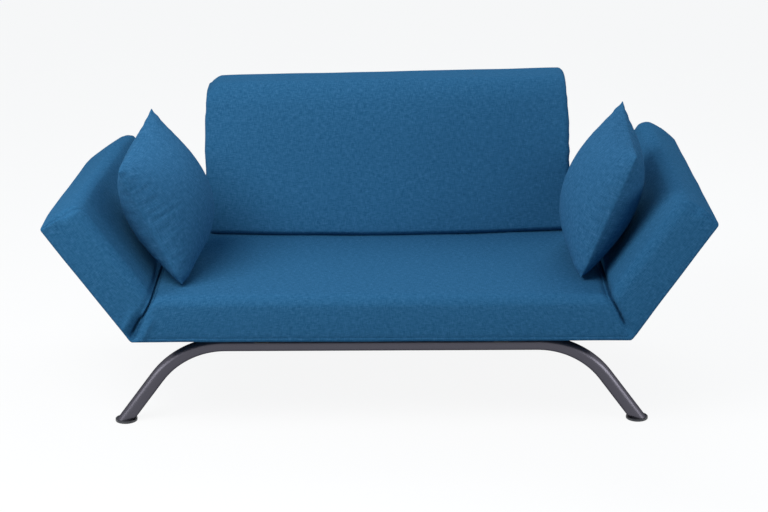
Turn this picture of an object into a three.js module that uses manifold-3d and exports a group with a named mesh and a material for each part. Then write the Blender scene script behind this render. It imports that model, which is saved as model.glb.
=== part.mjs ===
// Click clack sofa bed: a long mattress in three sections on two bent-tube legs. Its end sections fold
// up as arms on ratchet hinges, and a wedge-shaped back cushion and two scatter cushions lie loose on it.
// Millimetres. +X runs along the seat, +Y to the back, +Z up, with the origin on the floor.
import * as THREE from 'three';
import { mergeVertices } from 'three/addons/utils/BufferGeometryUtils.js';
import Module from 'manifold-3d';

const wasm = await Module();
wasm.setup();

const degree = Math.PI / 180;

// Mattress: overall sizes, with the arms laid flat
const bedLength = 2000;
const pivotSpacing = 1276;
const mattressDepth = 800;
const mattressThickness = 118;
const undersideHeight = 260;

// Folding arms: angle above flat in the photographed notch, and the ratchet's steps below it
const armAngle = 56 * degree;
const notchPitch = 14 * degree;
const notchCount = 5;
const releaseAngle = 3 * degree;
const pivotRise = 15;
const foldGap = 1;

// Upholstery
const coverThickness = 2;
const coverGap = 0.4;
const edgeRadius = 22;
const seatCrown = 4;
const borderBulge = 3;
const facetLength = 160;

// Steel frame and its wooden decks
const seatGap = 0.3;
const frameInset = 55;
const railWidth = 30;
const railHeight = 30;
const railWall = 2;
const railSetback = 20;
const slatWidth = 90;
const slatThickness = 12;
const slatPitch = 290;
const slatCount = 4;
const boardThickness = 9;
const boardSetback = 62;

// Hinges: a fork of two cheeks, with the toothed plate and the pawl between them
const cheekThickness = 3;
const plateThickness = 5;
const sideSlack = 0.5;
const forkLength = 95;
const strapHalfHeight = 12;
const spacerLength = 30;
const rivetRadius = 5;
const rivetHeadRadius = 9;
const rivetHeadThickness = 2.3;
const pinSlack = 0.3;
const sectorRadius = 34;
const toothDepth = 3.5;
const toothOverlap = 8 * degree;
const noseAngle = 124 * degree;
const noseClearance = 0.9;
const pawlInboard = 44;
const pawlRise = 24;
const pawlBossRadius = 7;
const cheekBossRadius = 9;
const pawlHookInboard = 22;
const pawlHookRise = 40;
const pawlPinRadius = 3;
const pawlPinLength = 7;
const springRadius = 5.2;
const springLength = 5;
const springLegLength = 18;
const springWire = 1.6;
const pocketInboard = 80;
const pocketOutboard = 50;
const pocketRise = 60;
const pocketSide = 5;
const pocketSpringSide = 13;

// Legs
const tubeRadius = 19;
const tubeWall = 2;
const tubeDrop = 46.3;
const bowInset = 102;
const bowStraight = 816;
const bowRadius = 225;
const bowAngle = 53.5 * degree;
const footRadius = 29;
const footThickness = 5;
const footChamfer = 1.5;
const plugLength = 26;
const barSpacing = 622;
const barWidth = 35;
const barWall = 2;
const boltRadius = 4;
const boltSlack = 0.3;
const boltHeadRadius = 7.5;
const boltHeadHeight = 5.3;
const boltAccessRadius = 9;
const boltGrip = 8;

// Back cushion: a wedge with an upright back and a sloping front
const backWidth = 1000;
const backDepth = 276;
const backRearInset = 12;
const backHeight = 402;
const backLean = 19 * degree;
const backTopRadius = 58;
const backFootRadius = 20;
const backFrontBulge = 16;
const backSideBulge = 8;
const zipLength = 900;
const zipWidth = 6;
const zipInset = 40;

// Scatter cushions: the left one is plumped up more than the right one, which draws its sides in further.
// Each one leans back on its arm, turns a little and tips up at the rear.
const pillowSizes = {
  left: { side: 362, halfThickness: 109 },
  right: { side: 379, halfThickness: 98 },
};
const pillowPoses = {
  left: { fromFront: 221, lean: 68 * degree, turn: 12.5 * degree, tip: 12 * degree },
  right: { fromFront: 264, lean: 70 * degree, turn: 2 * degree, tip: 8 * degree },
};
const pillowDrawInShare = 0.048;
const pillowSeam = 5;
const pillowSeatGap = 7.5;

// One overrun serves every cut
const overrun = 40;

// Sizes that follow
const armLength = (bedLength - pivotSpacing) / 2;
const pivotX = pivotSpacing / 2;
const pivotZ = undersideHeight + pivotRise;
const halfDepth = mattressDepth / 2;
const seatTop = undersideHeight + mattressThickness;
const mitreAngle = (armAngle + releaseAngle) / 2;
const railOuterY = halfDepth - frameInset;
const railInnerY = railOuterY - railWidth;
const forkOuterY = railInnerY - seatGap;
const plateOuterY = forkOuterY - cheekThickness - sideSlack;
const plateInnerY = plateOuterY - plateThickness;
const forkInnerY = plateInnerY - sideSlack - cheekThickness;
const armRailInnerY = plateOuterY + seatGap;
const armRailOuterY = armRailInnerY + railWidth;
const seatFrameEnd = pivotX - railSetback;
const armFrameEnd = armLength - frameInset;
const bowY = halfDepth - bowInset;
const tubeZ = undersideHeight - tubeDrop;
const barBottom = tubeZ + tubeRadius + seatGap;
const barTop = undersideHeight - seatGap;
const liner = coverThickness + coverGap;
const deckRise = liner + railHeight + seatGap;

// Colours of the fabric, the powder-coated steel, the zinc-plated hardware, foam, wood and plastic
const fabric = finish(0x28669a, 0.95, 0);
const pillowFabric = finish(0x2f6ea3, 0.95, 0);
const tubeSteel = finish(0x55555e, 0.4, 0.8);
const frameSteel = finish(0x3a3c40, 0.5, 0.7);
const zinc = finish(0xb5b9be, 0.35, 0.9);
const foam = finish(0xe9e2c8, 1, 0);
const beech = finish(0xcfa873, 0.7, 0);
const plastic = finish(0x1d1e20, 0.6, 0);

function finish(color, roughness, metalness) {
  return new THREE.MeshStandardMaterial({ color, roughness, metalness });
}

function addMesh(parent, name, geometry, material) {
  const mesh = new THREE.Mesh(geometry, material);
  mesh.name = name;
  parent.add(mesh);
  return mesh;
}

// A closed geometry as a solid, with its vertices merged by place
function solidOf(geometry) {
  const bare = geometry.clone();
  bare.deleteAttribute('normal');
  bare.deleteAttribute('uv');
  const merged = mergeVertices(bare);
  return new wasm.Manifold(new wasm.Mesh({
    numProp: 3,
    vertProperties: merged.getAttribute('position').array,
    triVerts: new Uint32Array(merged.index.array),
  }));
}

function geometryOf(solid) {
  const mesh = solid.getMesh();
  const geometry = new THREE.BufferGeometry();
  geometry.setAttribute('position', new THREE.BufferAttribute(new Float32Array(mesh.vertProperties), 3));
  geometry.setIndex(new THREE.BufferAttribute(new Uint32Array(mesh.triVerts), 1));
  const faceted = geometry.toNonIndexed();
  faceted.computeVertexNormals();
  return faceted;
}

function join(first, ...others) {
  return geometryOf(others.reduce((whole, part) => whole.add(solidOf(part)), solidOf(first)));
}

function cut(body, ...tools) {
  return geometryOf(tools.reduce((rest, tool) => rest.subtract(solidOf(tool)), solidOf(body)));
}

// A box between two corners
function boxBetween(x0, x1, y0, y1, z0, z1) {
  const box = new THREE.BoxGeometry(x1 - x0, y1 - y0, z1 - z0);
  return box.translate((x0 + x1) / 2, (y0 + y1) / 2, (z0 + z1) / 2);
}

// A flat plate standing along X and Z, from one Y to another
function plateAcross(shape, y0, y1) {
  const plate = new THREE.ExtrudeGeometry(shape, { depth: y1 - y0, bevelEnabled: false, curveSegments: 6 });
  return plate.rotateX(Math.PI / 2).translate(0, y1, 0);
}

// A round bar along Y
function barAcross(radius, y0, y1) {
  return new THREE.CylinderGeometry(radius, radius, y1 - y0, 16).translate(0, (y0 + y1) / 2, 0);
}

// A rectangular tube, open at both ends, whose length runs along X
function boxTube(length, width, height, wall) {
  const section = rectangle(width, height);
  section.holes.push(rectangle(width - 2 * wall, height - 2 * wall));
  const tube = new THREE.ExtrudeGeometry(section, { depth: length, bevelEnabled: false });
  return tube.translate(0, 0, -length / 2).rotateY(Math.PI / 2);
}

function rectangle(width, height) {
  const outline = new THREE.Shape();
  outline.moveTo(-height / 2, -width / 2);
  outline.lineTo(height / 2, -width / 2);
  outline.lineTo(height / 2, width / 2);
  outline.lineTo(-height / 2, width / 2);
  outline.closePath();
  return outline;
}

// Soft blocks: a box with rounded edges, whose radius may change from bottom to top. Each side has the
// given count of straight steps between two rounded ends, and a round of one or two steps a quarter.
function softBlock(size, bottomRadius, topRadius, straightSteps, fine) {
  const rows = straightSteps.map((steps) => roundedStops(steps, fine));
  const block = new THREE.BoxGeometry(1, 1, 1, ...rows.map((row) => row.length - 1));
  const position = block.getAttribute('position');
  const point = new THREE.Vector3();
  for (let i = 0; i < position.count; i++) {
    point.fromBufferAttribute(position, i);
    const stops = point.toArray().map((share, axis) => {
      const row = rows[axis];
      return row[Math.round((share + 1 / 2) * (row.length - 1))];
    });
    const radius = THREE.MathUtils.lerp(bottomRadius, topRadius, (stops[2].straight + 1) / 2);
    const offset = new THREE.Vector3(...stops.map((stop) => stop.round)).setLength(radius);
    point.set(...stops.map((stop, axis) => stop.straight * (size.getComponent(axis) / 2 - radius)));
    point.add(offset);
    position.setXYZ(i, ...point.toArray());
  }
  return block;
}

// Places along one side as shares: of the straight stretch, and of the rounding past its end
function roundedStops(steps, fine) {
  const roundShares = fine ? [1, Math.tan(Math.PI / 8), 0] : [1, 0];
  const start = roundShares.map((share) => ({ straight: -1, round: -share }));
  const middle = Array.from({ length: steps - 1 }, (_, i) => ({
    straight: (2 * (i + 1)) / steps - 1,
    round: 0,
  }));
  const end = roundShares.map((share) => ({ straight: 1, round: share })).reverse();
  return [...start, ...middle, ...end];
}

function reshape(geometry, form) {
  const position = geometry.getAttribute('position');
  const point = new THREE.Vector3();
  for (let i = 0; i < position.count; i++) {
    form(point.fromBufferAttribute(position, i));
    position.setXYZ(i, ...point.toArray());
  }
  return geometry;
}

// A swelling that is 1 in the middle and 0 at the edges
function swell(share, power) {
  return 1 - Math.min(1, Math.abs(share)) ** power;
}

// A mattress section in the frame of its underside's middle line, inset by the given margin. It runs
// along X between two places, of which the cut end lies past its mitre.
function mattressBlock(x0, x1, margin, fullReach) {
  const size = new THREE.Vector3(x1 - x0, mattressDepth, mattressThickness).subScalar(2 * margin);
  const radius = edgeRadius - margin;
  const steps = [Math.ceil((x1 - x0) / facetLength), 6, 2];
  const block = softBlock(size, radius, radius, steps, margin === 0);
  block.translate((x0 + x1) / 2, 0, mattressThickness / 2);
  return reshape(block, (point) => {
    const heightShare = THREE.MathUtils.clamp(point.z / mattressThickness, 0, 1);
    const alongShare = point.x / fullReach;
    const acrossShare = point.y / halfDepth;
    point.z += seatCrown * heightShare * swell(alongShare, 8) * swell(acrossShare, 6);
    const bulge = borderBulge * swell(2 * heightShare - 1, 2) * swell(alongShare, 8);
    point.y += Math.sign(point.y) * bulge * Math.abs(acrossShare) ** 8;
  });
}

// What is cut away at a fold, in the frame of a pivot with the mattress section on its -X side: all
// beyond an upright plane under the pivot, and beyond the mitre above it.
function foldCutter() {
  const reach = bedLength / 2;
  const outline = new THREE.Shape();
  outline.moveTo(-foldGap, 0);
  outline.lineTo(-foldGap, -reach);
  outline.lineTo(reach, -reach);
  outline.lineTo(reach, reach);
  outline.lineTo(-foldGap - reach * Math.tan(mitreAngle), reach);
  outline.closePath();
  return plateAcross(outline, -mattressDepth, mattressDepth);
}

// Room for the hinge, on either side of the pivot, and across the section's front and rear
function hingePockets(inboard, outboard) {
  const y0 = forkInnerY - pocketSpringSide;
  const y1 = forkOuterY + pocketSide;
  return [-1, 1].map((side) => {
    const ends = [side * y0, side * y1].sort((a, b) => a - b);
    return boxBetween(-inboard, outboard, ...ends, -pivotRise - overrun, pocketRise);
  });
}

// One end's fold in the seat's own frame
function seatFold(side) {
  const cutter = foldCutter().translate(pivotX, 0, pivotRise);
  return side < 0 ? cutter.rotateZ(Math.PI) : cutter;
}

// The cover wraps the foam and the frame all round and is open only at the folds
function buildSeat() {
  const seat = new THREE.Group();
  const reach = pivotX + overrun;
  const folds = [seatFold(1), seatFold(-1)];
  const block = mattressBlock(-reach, reach, 0, pivotX);
  const inner = mattressBlock(-reach, reach, coverThickness, pivotX);
  addMesh(seat, 'seat_cover', cut(block, inner, ...folds), fabric);

  const channelTop = deckRise + slatThickness + seatGap;
  const channelY = railOuterY + seatGap;
  const channel = boxBetween(-reach * 2, reach * 2, -channelY, channelY, -overrun, channelTop);
  const pockets = [1, -1].flatMap((side) =>
    hingePockets(pocketInboard, pocketOutboard).map((pocket) => {
      pocket.translate(pivotX, 0, pivotRise);
      return side < 0 ? pocket.rotateZ(Math.PI) : pocket;
    }),
  );
  const filling = mattressBlock(-reach, reach, liner, pivotX);
  addMesh(seat, 'seat_foam', cut(filling, channel, ...folds, ...pockets), foam);
  seat.position.z = undersideHeight;
  return seat;
}

function buildSeatFrame() {
  const frame = new THREE.Group();
  const railZ = liner + railHeight / 2;
  for (const [name, side] of [['front', -1], ['rear', 1]]) {
    const rail = boxTube(2 * seatFrameEnd, railWidth, railHeight, railWall);
    const mesh = addMesh(frame, `seat_${name}_rail`, rail, frameSteel);
    mesh.position.set(0, side * (railInnerY + railOuterY) / 2, railZ);
  }
  const endLength = 2 * (forkInnerY - seatGap);
  for (const [name, side] of [['left', -1], ['right', 1]]) {
    const rail = boxTube(endLength, railWidth, railHeight, railWall).rotateZ(Math.PI / 2);
    const mesh = addMesh(frame, `seat_${name}_end_rail`, rail, frameSteel);
    mesh.position.set(side * (seatFrameEnd - railWidth / 2), 0, railZ);
  }
  for (let i = 0; i < slatCount; i++) {
    const slat = new THREE.BoxGeometry(slatWidth, 2 * railOuterY, slatThickness);
    const mesh = addMesh(frame, `seat_slat_${i + 1}`, slat, beech);
    const fromMiddle = i - (slatCount - 1) / 2;
    mesh.position.set(fromMiddle * slatPitch, 0, deckRise + slatThickness / 2);
  }
  frame.position.z = undersideHeight;
  return frame;
}

// An arm in the frame of its pivot: +X runs out along it, and it lies flat at no rotation
function buildArm(name) {
  const arm = new THREE.Group();
  const fold = foldCutter().rotateZ(Math.PI);
  const block = mattressBlock(-overrun, armLength, 0, armLength).translate(0, 0, -pivotRise);
  const inner = mattressBlock(-overrun, armLength, coverThickness, armLength).translate(0, 0, -pivotRise);
  addMesh(arm, `${name}_arm_cover`, cut(block, inner, fold), fabric);

  const deckTop = deckRise + boardThickness + seatGap - pivotRise;
  const channelY = railOuterY + seatGap;
  const channelEnd = armFrameEnd + seatGap;
  const channel = boxBetween(-overrun * 2, channelEnd, -channelY, channelY, -pivotRise - overrun, deckTop);
  const filling = mattressBlock(-overrun, armLength, liner, armLength).translate(0, 0, -pivotRise);
  const pockets = hingePockets(pocketOutboard, pocketInboard);
  addMesh(arm, `${name}_arm_foam`, cut(filling, channel, fold, ...pockets), foam);

  const railZ = liner + railHeight / 2 - pivotRise;
  for (const [row, side] of [['front', -1], ['rear', 1]]) {
    const rail = boxTube(armFrameEnd - railSetback, railWidth, railHeight, railWall);
    const mesh = addMesh(arm, `${name}_arm_${row}_rail`, rail, frameSteel);
    mesh.position.set((railSetback + armFrameEnd) / 2, side * (armRailInnerY + armRailOuterY) / 2, railZ);
  }
  const endRails = [
    ['inner', railSetback + railWidth / 2, plateInnerY - seatGap],
    ['outer', armFrameEnd - railWidth / 2, armRailInnerY - seatGap],
  ];
  for (const [row, x, halfLength] of endRails) {
    const rail = boxTube(2 * halfLength, railWidth, railHeight, railWall).rotateZ(Math.PI / 2);
    const mesh = addMesh(arm, `${name}_arm_${row}_end_rail`, rail, frameSteel);
    mesh.position.set(x, 0, railZ);
  }
  const board = new THREE.BoxGeometry(armFrameEnd - boardSetback, 2 * armRailOuterY, boardThickness);
  const deck = addMesh(arm, `${name}_arm_board`, board, beech);
  const deckZ = railZ + (railHeight + boardThickness) / 2 + seatGap;
  deck.position.set((boardSetback + armFrameEnd) / 2, 0, deckZ);
  return arm;
}

// The fork's cheeks, in the frame of the pivot with the seat on the -X side
function cheekShape() {
  const shape = new THREE.Shape();
  shape.moveTo(-forkLength, -strapHalfHeight);
  shape.lineTo(0, -strapHalfHeight);
  shape.absarc(0, 0, strapHalfHeight, -Math.PI / 2, Math.PI - mitreAngle * 2, false);
  shape.absarc(-pawlInboard, pawlRise, cheekBossRadius, Math.PI / 3, Math.PI, false);
  shape.lineTo(-pawlInboard - cheekBossRadius, strapHalfHeight);
  shape.lineTo(-forkLength, strapHalfHeight);
  shape.closePath();
  shape.holes.push(roundHole(0, 0, rivetRadius + pinSlack));
  shape.holes.push(roundHole(-pawlInboard, pawlRise, pawlPinRadius + pinSlack));
  return shape;
}

function roundHole(x, z, radius) {
  const hole = new THREE.Path();
  hole.absarc(x, z, radius, 0, 2 * Math.PI, true);
  return hole;
}

function forkGeometry() {
  const outer = plateAcross(cheekShape(), forkOuterY - cheekThickness, forkOuterY);
  const inner = plateAcross(cheekShape(), forkInnerY, forkInnerY + cheekThickness);
  const half = cheekThickness / 2;
  const spacerEnd = spacerLength - forkLength;
  const spacer = boxBetween(
    -forkLength, spacerEnd, forkInnerY + half, forkOuterY - half, -strapHalfHeight, strapHalfHeight,
  );
  return join(outer, inner, spacer);
}

// The arm's plate carries one notch for each place at which the pawl can hold it
function ratchetGeometry() {
  const shape = new THREE.Shape();
  const lastNotch = noseAngle - (notchCount - 1) * notchPitch;
  const first = lastNotch - toothOverlap;
  shape.moveTo(0, -strapHalfHeight);
  shape.lineTo(forkLength, -strapHalfHeight);
  shape.lineTo(forkLength, strapHalfHeight);
  shape.lineTo(strapHalfHeight / Math.tan(first), strapHalfHeight);
  shape.lineTo(sectorRadius * Math.cos(first), sectorRadius * Math.sin(first));
  const root = sectorRadius - toothDepth;
  for (let i = 0; i < notchCount; i++) {
    const notch = lastNotch + i * notchPitch;
    shape.lineTo(sectorRadius * Math.cos(notch), sectorRadius * Math.sin(notch));
    shape.lineTo(root * Math.cos(notch), root * Math.sin(notch));
    const crest = notch + notchPitch / 2;
    shape.lineTo(sectorRadius * Math.cos(crest), sectorRadius * Math.sin(crest));
  }
  const last = noseAngle + toothOverlap;
  shape.lineTo(sectorRadius * Math.cos(last), sectorRadius * Math.sin(last));
  shape.absarc(0, 0, strapHalfHeight, last, 3 * Math.PI / 2, false);
  shape.closePath();
  shape.holes.push(roundHole(0, 0, rivetRadius + pinSlack));
  return plateAcross(shape, plateInnerY, plateOuterY);
}

function rivetGeometry() {
  const shankEnd = forkOuterY + pinSlack;
  const shankStart = forkInnerY - pinSlack;
  const half = rivetHeadThickness / 2;
  return join(
    barAcross(rivetRadius, shankStart - half, shankEnd + half),
    barAcross(rivetHeadRadius, shankEnd, shankEnd + rivetHeadThickness),
    barAcross(rivetHeadRadius, shankStart - rivetHeadThickness, shankStart),
  );
}

// The pawl, in the frame of its own pin, hooks over the toothed sector just clear of the crests
function pawlGeometry() {
  const noseRadius = sectorRadius + noseClearance;
  const noseX = noseRadius * Math.cos(noseAngle) + pawlInboard;
  const noseZ = noseRadius * Math.sin(noseAngle) - pawlRise;
  const shape = new THREE.Shape();
  shape.moveTo(noseX, noseZ);
  shape.lineTo(pawlInboard - pawlHookInboard, pawlHookRise - pawlRise);
  shape.absarc(0, 0, pawlBossRadius, Math.PI / 2, 3 * Math.PI / 2, false);
  shape.closePath();
  const plate = plateAcross(shape, plateInnerY, plateOuterY);
  return join(plate, barAcross(pawlPinRadius, forkInnerY - pawlPinLength, forkOuterY));
}

// A torsion spring round the inner end of the pawl's pin, with one leg along the cheek
function springGeometry() {
  const y1 = forkInnerY - seatGap;
  const y0 = y1 - springLength;
  const coil = barAcross(springRadius, y0, y1);
  const leg = boxBetween(-springLegLength, 0, y1 - springWire, y1, springRadius - springWire, springRadius);
  const bore = barAcross(pawlPinRadius + pinSlack, y0 - overrun, y1 + overrun);
  return geometryOf(solidOf(coil).add(solidOf(leg)).subtract(solidOf(bore)));
}

function buildBow(name, side) {
  const bow = new THREE.Group();
  const legX = bowStraight / 2 + bowRadius * Math.sin(bowAngle);
  const legZ = -bowRadius * (1 - Math.cos(bowAngle));
  const slope = new THREE.Vector2(Math.cos(bowAngle), -Math.sin(bowAngle));
  const legRun = (tubeZ + legZ + tubeRadius) / Math.sin(bowAngle);
  const footX = legX + (tubeZ + legZ - footThickness) / Math.tan(bowAngle);

  const half = [];
  const bendSteps = 7;
  for (let i = 0; i <= bendSteps; i++) {
    const angle = (bowAngle * i) / bendSteps;
    half.push({
      x: bowStraight / 2 + bowRadius * Math.sin(angle),
      z: -bowRadius * (1 - Math.cos(angle)),
      angle,
    });
  }
  half.push({ x: legX + slope.x * legRun, z: legZ + slope.y * legRun, angle: bowAngle });
  const mirrored = half.map(({ x, z, angle }) => ({ x: -x, z, angle: -angle })).reverse();
  const tube = bentTube([...mirrored, ...half], tubeRadius, tubeRadius - tubeWall);
  const cutTop = footThickness + seatGap - tubeZ;
  const beside = tubeRadius * 2;
  const below = boxBetween(-bedLength, bedLength, -beside, beside, -tubeZ - bowRadius, cutTop);
  const holes = [-1, 1].map((end) => {
    const hole = uprightHole(boltRadius + boltSlack, 0, tubeRadius - tubeWall * 2, tubeRadius * 2);
    return hole.translate((end * barSpacing) / 2, 0, 0);
  });
  const mesh = addMesh(bow, `${name}_leg_bow`, cut(tube, below, ...holes), tubeSteel);
  mesh.position.z = tubeZ;

  for (const [end, direction] of [['left', -1], ['right', 1]]) {
    const foot = addMesh(bow, `${name}_${end}_foot`, footGeometry(), plastic);
    foot.position.x = direction * footX;
    foot.scale.x = direction;
  }
  bow.position.y = side * bowY;
  return bow;
}

// A round tube swept along stations in the XZ plane, each with the angle that its normal leans out
function bentTube(stations, outerRadius, innerRadius) {
  const sides = 16;
  const positions = [];
  const index = [];
  const at = (station, layer, corner) => (station * 2 + layer) * sides + (corner % sides);
  for (const { x, z, angle } of stations) {
    for (const radius of [outerRadius, innerRadius]) {
      for (let corner = 0; corner < sides; corner++) {
        const turn = (2 * Math.PI * corner) / sides;
        const outward = radius * Math.cos(turn);
        const across = radius * Math.sin(turn);
        positions.push(x + outward * Math.sin(angle), across, z + outward * Math.cos(angle));
      }
    }
  }
  const last = stations.length - 1;
  for (let corner = 0; corner < sides; corner++) {
    const next = corner + 1;
    for (let i = 0; i < last; i++) {
      index.push(at(i, 0, corner), at(i + 1, 0, corner), at(i + 1, 0, next));
      index.push(at(i, 0, corner), at(i + 1, 0, next), at(i, 0, next));
      index.push(at(i, 1, corner), at(i + 1, 1, next), at(i + 1, 1, corner));
      index.push(at(i, 1, corner), at(i, 1, next), at(i + 1, 1, next));
    }
    index.push(at(0, 0, corner), at(0, 0, next), at(0, 1, next));
    index.push(at(0, 0, corner), at(0, 1, next), at(0, 1, corner));
    index.push(at(last, 0, corner), at(last, 1, next), at(last, 0, next));
    index.push(at(last, 0, corner), at(last, 1, corner), at(last, 1, next));
  }
  const tube = new THREE.BufferGeometry();
  tube.setAttribute('position', new THREE.Float32BufferAttribute(positions, 3));
  tube.setIndex(index);
  return tube;
}

// A flat disc with a slanted plug that fills the end of the leg tube
function footGeometry() {
  const profile = [
    new THREE.Vector2(0, 0),
    new THREE.Vector2(footRadius, 0),
    new THREE.Vector2(footRadius, footThickness - footChamfer),
    new THREE.Vector2(footRadius - footChamfer, footThickness),
    new THREE.Vector2(0, footThickness),
  ];
  const disc = new THREE.LatheGeometry(profile, 24).rotateX(Math.PI / 2);
  const plugRadius = tubeRadius - tubeWall - seatGap;
  const plug = new THREE.CylinderGeometry(plugRadius, plugRadius, 2 * plugLength, 16);
  plug.rotateX(Math.PI / 2).rotateY(bowAngle - Math.PI / 2).translate(0, 0, footThickness);
  const buried = boxBetween(-overrun * 2, overrun * 2, -overrun, overrun, -overrun * 2, footThickness / 2);
  return join(disc, cut(plug, buried));
}

function buildCrossBars() {
  const bars = new THREE.Group();
  for (const [name, side] of [['left', -1], ['right', 1]]) {
    const bar = boxTube(2 * railOuterY, barWidth, barTop - barBottom, barWall).rotateZ(Math.PI / 2);
    const holes = [-bowY, bowY].flatMap((y) => [
      uprightHole(boltRadius + boltSlack, y, -overrun, 0),
      uprightHole(boltAccessRadius, y, 0, overrun),
    ]);
    const mesh = addMesh(bars, `${name}_cross_bar`, cut(bar, ...holes), frameSteel);
    mesh.position.set((side * barSpacing) / 2, 0, (barBottom + barTop) / 2);
    for (const [row, direction] of [['front', -1], ['rear', 1]]) {
      const bolt = addMesh(bars, `${row}_${name}_bolt`, boltGeometry(), zinc);
      bolt.position.set((side * barSpacing) / 2, direction * bowY, barBottom + barWall + seatGap);
    }
  }
  return bars;
}

function uprightHole(radius, y, z0, z1) {
  const hole = new THREE.CylinderGeometry(radius, radius, z1 - z0, 12);
  return hole.rotateX(Math.PI / 2).translate(0, y, (z0 + z1) / 2);
}

// A hexagon bolt inside the bar, which an access hole above it lets in, hanging from its head
function boltGeometry() {
  const length = barWall + 2 * seatGap + boltGrip;
  const buried = boltHeadHeight / 2;
  const shank = new THREE.CylinderGeometry(boltRadius, boltRadius, length + buried, 12);
  shank.rotateX(Math.PI / 2).translate(0, 0, (buried - length) / 2);
  const head = new THREE.CylinderGeometry(boltHeadRadius, boltHeadRadius, boltHeadHeight, 6);
  return join(shank, head.rotateX(Math.PI / 2).translate(0, 0, boltHeadHeight / 2));
}

// The back cushion stands on its base, with its rear upright and its front leaning back
function backBlock(margin) {
  const size = new THREE.Vector3(backWidth - 2 * margin, backDepth - 2 * margin, backHeight - 2 * margin);
  const block = softBlock(size, backFootRadius - margin, backTopRadius - margin, [6, 2, 4], margin === 0);
  block.translate(0, 0, backHeight / 2);
  return reshape(block, (point) => {
    const heightShare = point.z / backHeight;
    const widthShare = (2 * point.x) / backWidth;
    const frontShare = (backDepth / 2 - point.y) / backDepth;
    const plump = swell(widthShare, 4) * swell(2 * heightShare - 1, 4);
    point.y += frontShare * (point.z * Math.tan(backLean) - backFrontBulge * plump);
    point.x += widthShare * backSideBulge * swell(2 * heightShare - 1, 2);
  });
}

function buildBackCushion() {
  const cushion = new THREE.Group();
  const zipY = backDepth / 2 - zipInset;
  const zip = boxBetween(-zipLength / 2, zipLength / 2, zipY - zipWidth, zipY, -overrun, backFootRadius);
  addMesh(cushion, 'back_cushion_cover', cut(backBlock(0), backBlock(coverThickness), zip), fabric);
  addMesh(cushion, 'back_cushion_foam', backBlock(liner), foam);
  cushion.position.y = halfDepth - backRearInset - backDepth / 2;
  cushion.position.z = seatTop + seatCrown + seatGap;
  return cushion;
}

// A square cushion, sewn along its middle plane, with its sides drawn in by the filling
function pillowGeometry({ side, halfThickness }) {
  const steps = 12;
  const block = new THREE.BoxGeometry(2, 2, 2, steps, steps, 1);
  return reshape(block, (point) => {
    const u = Math.sin((point.x * Math.PI) / 2);
    const v = Math.sin((point.y * Math.PI) / 2);
    const fullness = Math.sqrt(Math.max(0, (1 - u * u) * (1 - v * v)));
    point.x = (u * side) / 2 * (1 - pillowDrawInShare * (1 - v * v) * Math.abs(u));
    point.y = (v * side) / 2 * (1 - pillowDrawInShare * (1 - u * u) * Math.abs(v));
    point.z *= pillowSeam / 2 + (halfThickness - pillowSeam / 2) * fullness;
  });
}

// A cushion leans on the right arm's inner face: it is turned in place, then moved until it just clears
// the seat below it and the arm beside it.
function leaningPillow(size, { fromFront, lean, turn, tip }) {
  const pillow = pillowGeometry(size).rotateY(-Math.PI / 2);
  pillow.rotateX(tip).rotateY(Math.PI / 2 - lean).rotateZ(turn);
  const armNormal = new THREE.Vector3(-Math.sin(armAngle), 0, Math.cos(armAngle));
  const position = pillow.getAttribute('position');
  const point = new THREE.Vector3();
  let lowest = Infinity;
  let nearest = Infinity;
  for (let i = 0; i < position.count; i++) {
    point.fromBufferAttribute(position, i);
    lowest = Math.min(lowest, point.z);
    nearest = Math.min(nearest, point.dot(armNormal));
  }
  const z = seatTop + seatCrown + pillowSeatGap - lowest;
  const faceHeight = mattressThickness - pivotRise + seatCrown + seatGap;
  const outward = (nearest + (z - pivotZ) * armNormal.z - faceHeight) / -armNormal.x;
  return pillow.translate(pivotX + outward, fromFront - halfDepth, z);
}

// One corner's hinge parts that stay with the seat, in the frame of the pivot
function buildHinge(name) {
  const hinge = new THREE.Group();
  addMesh(hinge, `${name}_hinge_fork`, forkGeometry(), frameSteel);
  addMesh(hinge, `${name}_pivot_rivet`, rivetGeometry(), zinc);
  const pawl = addMesh(hinge, `${name}_pawl`, pawlGeometry(), zinc);
  const spring = addMesh(hinge, `${name}_pawl_spring`, springGeometry(), zinc);
  for (const mesh of [pawl, spring]) {
    mesh.position.set(-pawlInboard, 0, pawlRise);
  }
  return hinge;
}

function buildSide(name, side) {
  const half = new THREE.Group();
  const arm = buildArm(name);
  arm.position.set(pivotX, 0, pivotZ);
  arm.rotation.y = -armAngle;
  half.add(arm);
  for (const [row, direction] of [['front', -1], ['rear', 1]]) {
    const hinge = buildHinge(`${row}_${name}`);
    hinge.position.set(pivotX, 0, pivotZ);
    hinge.scale.y = direction;
    half.add(hinge);
    const plate = addMesh(arm, `${row}_${name}_ratchet_plate`, ratchetGeometry(), zinc);
    plate.scale.y = direction;
  }
  addMesh(half, `${name}_pillow`, leaningPillow(pillowSizes[name], pillowPoses[name]), pillowFabric);
  half.scale.x = side;
  return half;
}

const assembly = new THREE.Group();
assembly.add(buildSeatFrame(), buildSeat(), buildCrossBars());
assembly.add(buildBow('front', -1), buildBow('rear', 1));
assembly.add(buildSide('left', -1), buildSide('right', 1));
assembly.add(buildBackCushion());

// The origin lies on the floor below the middle of the whole sofa
const bounds = new THREE.Box3().setFromObject(assembly);
assembly.position.y = -(bounds.min.y + bounds.max.y) / 2;

const sofa = new THREE.Group();
sofa.add(assembly);

export default sofa;
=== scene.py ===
# Click clack sofa bed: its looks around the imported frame. Metres, +X along the seat, +Y to the back, +Z up.
import math

import bmesh
import bpy
import numpy as np
from mathutils import Matrix, Vector, noise


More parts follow.
